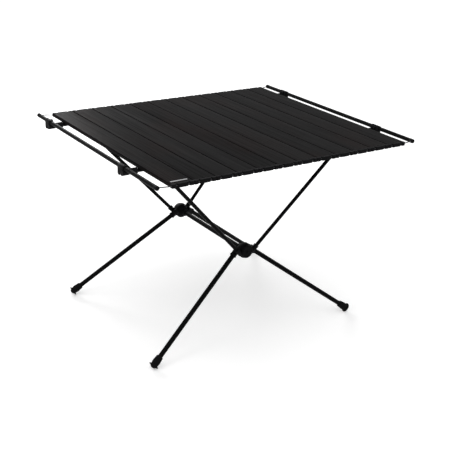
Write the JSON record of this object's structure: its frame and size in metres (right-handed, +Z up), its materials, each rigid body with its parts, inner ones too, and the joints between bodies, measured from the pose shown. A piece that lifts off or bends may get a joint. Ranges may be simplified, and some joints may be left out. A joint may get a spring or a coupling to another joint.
{
  "type": "folding camp table",
  "caption": "Folding camp table with a roll-up top of flat slats strung on elastic cord, held by a crossed frame of thin poles and hubs.",
  "frame": {"origin": "on the ground, under the middle of the table's bounding box", "axes": "+X across the slats, to the table's right; +Y along the slats, away from the viewer's side; +Z up"},
  "size_m": [0.7376, 0.616, 0.5151],
  "materials": {
    "anodised_slat": "black anodised, finely brushed along the slat",
    "anodised_pole": "black anodised, satin",
    "moulded_plastic": "black, lightly textured",
    "foot_rubber": "black, matte",
    "elastic_cord": "dark grey woven cover over elastic"
  },
  "bodies": {
    "frame": {"cross_bar": "anodised_pole", "hub_front": "moulded_plastic", "hub_rear": "moulded_plastic", "arm_front_left": "anodised_pole", "arm_front_right": "anodised_pole", "arm_rear_left": "anodised_pole", "arm_rear_right": "anodised_pole"},
    "leg_front_left": {"leg_front_left": "anodised_pole", "foot_front_left": "foot_rubber"},
    "leg_front_right": {"leg_front_right": "anodised_pole", "foot_front_right": "foot_rubber"},
    "leg_rear_left": {"leg_rear_left": "anodised_pole", "foot_rear_left": "foot_rubber"},
    "leg_rear_right": {"leg_rear_right": "anodised_pole", "foot_rear_right": "foot_rubber"},
    "slat_01": {"slat_01": "anodised_slat", "end_plug_front_01": "moulded_plastic", "end_plug_rear_01": "moulded_plastic", "side_rail_left": "anodised_pole", "elastic_cord_left": "elastic_cord", "rail_bracket_front_left": "moulded_plastic", "rail_bracket_rear_left": "moulded_plastic"},
    "slat_02": {"slat_02": "anodised_slat", "end_plug_front_02": "moulded_plastic", "end_plug_rear_02": "moulded_plastic"},
    "slat_03": {"slat_03": "anodised_slat", "end_plug_front_03": "moulded_plastic", "end_plug_rear_03": "moulded_plastic"},
    "slat_04": {"slat_04": "anodised_slat", "end_plug_front_04": "moulded_plastic", "end_plug_rear_04": "moulded_plastic"},
    "slat_05": {"slat_05": "anodised_slat", "end_plug_front_05": "moulded_plastic", "end_plug_rear_05": "moulded_plastic"},
    "slat_06": {"slat_06": "anodised_slat", "end_plug_front_06": "moulded_plastic", "end_plug_rear_06": "moulded_plastic"},
    "slat_07": {"slat_07": "anodised_slat", "end_plug_front_07": "moulded_plastic", "end_plug_rear_07": "moulded_plastic"},
    "slat_08": {"slat_08": "anodised_slat", "end_plug_front_08": "moulded_plastic", "end_plug_rear_08": "moulded_plastic"},
    "slat_09": {"slat_09": "anodised_slat", "end_plug_front_09": "moulded_plastic", "end_plug_rear_09": "moulded_plastic"},
    "slat_10": {"slat_10": "anodised_slat", "end_plug_front_10": "moulded_plastic", "end_plug_rear_10": "moulded_plastic"},
    "slat_11": {"slat_11": "anodised_slat", "end_plug_front_11": "moulded_plastic", "end_plug_rear_11": "moulded_plastic"},
    "slat_12": {"slat_12": "anodised_slat", "end_plug_front_12": "moulded_plastic", "end_plug_rear_12": "moulded_plastic", "side_rail_right": "anodised_pole", "elastic_cord_right": "elastic_cord", "rail_bracket_front_right": "moulded_plastic", "rail_bracket_rear_right": "moulded_plastic"}
  },
  "joints": [
    {"name": "top_lift", "type": "slide", "parent": "frame", "child": "slat_06", "axis": [0, 0, 1], "range_m": [0, 0.04]},
    {"name": "roll_01", "type": "hinge", "parent": "slat_02", "child": "slat_01", "pos_m": [-0.275, -0.006, 0.512], "axis": [0, 1, 0], "range_deg": [0, 24]},
    {"name": "roll_02", "type": "hinge", "parent": "slat_03", "child": "slat_02", "pos_m": [-0.22, -0.006, 0.512], "axis": [0, 1, 0], "range_deg": [0, 24]},
    {"name": "roll_03", "type": "hinge", "parent": "slat_04", "child": "slat_03", "pos_m": [-0.165, -0.006, 0.512], "axis": [0, 1, 0], "range_deg": [0, 24]},
    {"name": "roll_04", "type": "hinge", "parent": "slat_05", "child": "slat_04", "pos_m": [-0.11, -0.006, 0.512], "axis": [0, 1, 0], "range_deg": [0, 24]},
    {"name": "roll_05", "type": "hinge", "parent": "slat_06", "child": "slat_05", "pos_m": [-0.055, -0.006, 0.512], "axis": [0, 1, 0], "range_deg": [0, 24]},
    {"name": "roll_06", "type": "hinge", "parent": "slat_06", "child": "slat_07", "pos_m": [0, -0.006, 0.512], "axis": [0, -1, 0], "range_deg": [0, 24]},
    {"name": "roll_07", "type": "hinge", "parent": "slat_07", "child": "slat_08", "pos_m": [0.055, -0.006, 0.512], "axis": [0, -1, 0], "range_deg": [0, 24]},
    {"name": "roll_08", "type": "hinge", "parent": "slat_08", "child": "slat_09", "pos_m": [0.11, -0.006, 0.512], "axis": [0, -1, 0], "range_deg": [0, 24]},
    {"name": "roll_09", "type": "hinge", "parent": "slat_09", "child": "slat_10", "pos_m": [0.165, -0.006, 0.512], "axis": [0, -1, 0], "range_deg": [0, 24]},
    {"name": "roll_10", "type": "hinge", "parent": "slat_10", "child": "slat_11", "pos_m": [0.22, -0.006, 0.512], "axis": [0, -1, 0], "range_deg": [0, 24]},
    {"name": "roll_11", "type": "hinge", "parent": "slat_11", "child": "slat_12", "pos_m": [0.275, -0.006, 0.512], "axis": [0, -1, 0], "range_deg": [0, 24]},
    {"name": "leg_slide_front_left", "type": "slide", "parent": "frame", "child": "leg_front_left", "axis": [-0.7826, -0.2137, -0.5847], "range_m": [0, 0.03], "stiffness_N_per_m": 150, "springref_m": -0.02},
    {"name": "leg_slide_front_right", "type": "slide", "parent": "frame", "child": "leg_front_right", "axis": [0.7826, -0.2137, -0.5847], "range_m": [0, 0.03], "stiffness_N_per_m": 150, "springref_m": -0.02},
    {"name": "leg_slide_rear_left", "type": "slide", "parent": "frame", "child": "leg_rear_left", "axis": [-0.7826, 0.2137, -0.5847], "range_m": [0, 0.03], "stiffness_N_per_m": 150, "springref_m": -0.02},
    {"name": "leg_slide_rear_right", "type": "slide", "parent": "frame", "child": "leg_rear_right", "axis": [0.7826, 0.2137, -0.5847], "range_m": [0, 0.03], "stiffness_N_per_m": 150, "springref_m": -0.02}
  ],
  "couplings": [
    {"joint": "roll_01", "follows": "roll_06", "ratio": 1},
    {"joint": "roll_02", "follows": "roll_06", "ratio": 1},
    {"joint": "roll_03", "follows": "roll_06", "ratio": 1},
    {"joint": "roll_04", "follows": "roll_06", "ratio": 1},
    {"joint": "roll_05", "follows": "roll_06", "ratio": 1},
    {"joint": "roll_07", "follows": "roll_06", "ratio": 1},
    {"joint": "roll_08", "follows": "roll_06", "ratio": 1},
    {"joint": "roll_09", "follows": "roll_06", "ratio": 1},
    {"joint": "roll_10", "follows": "roll_06", "ratio": 1},
    {"joint": "roll_11", "follows": "roll_06", "ratio": 1}
  ]
}
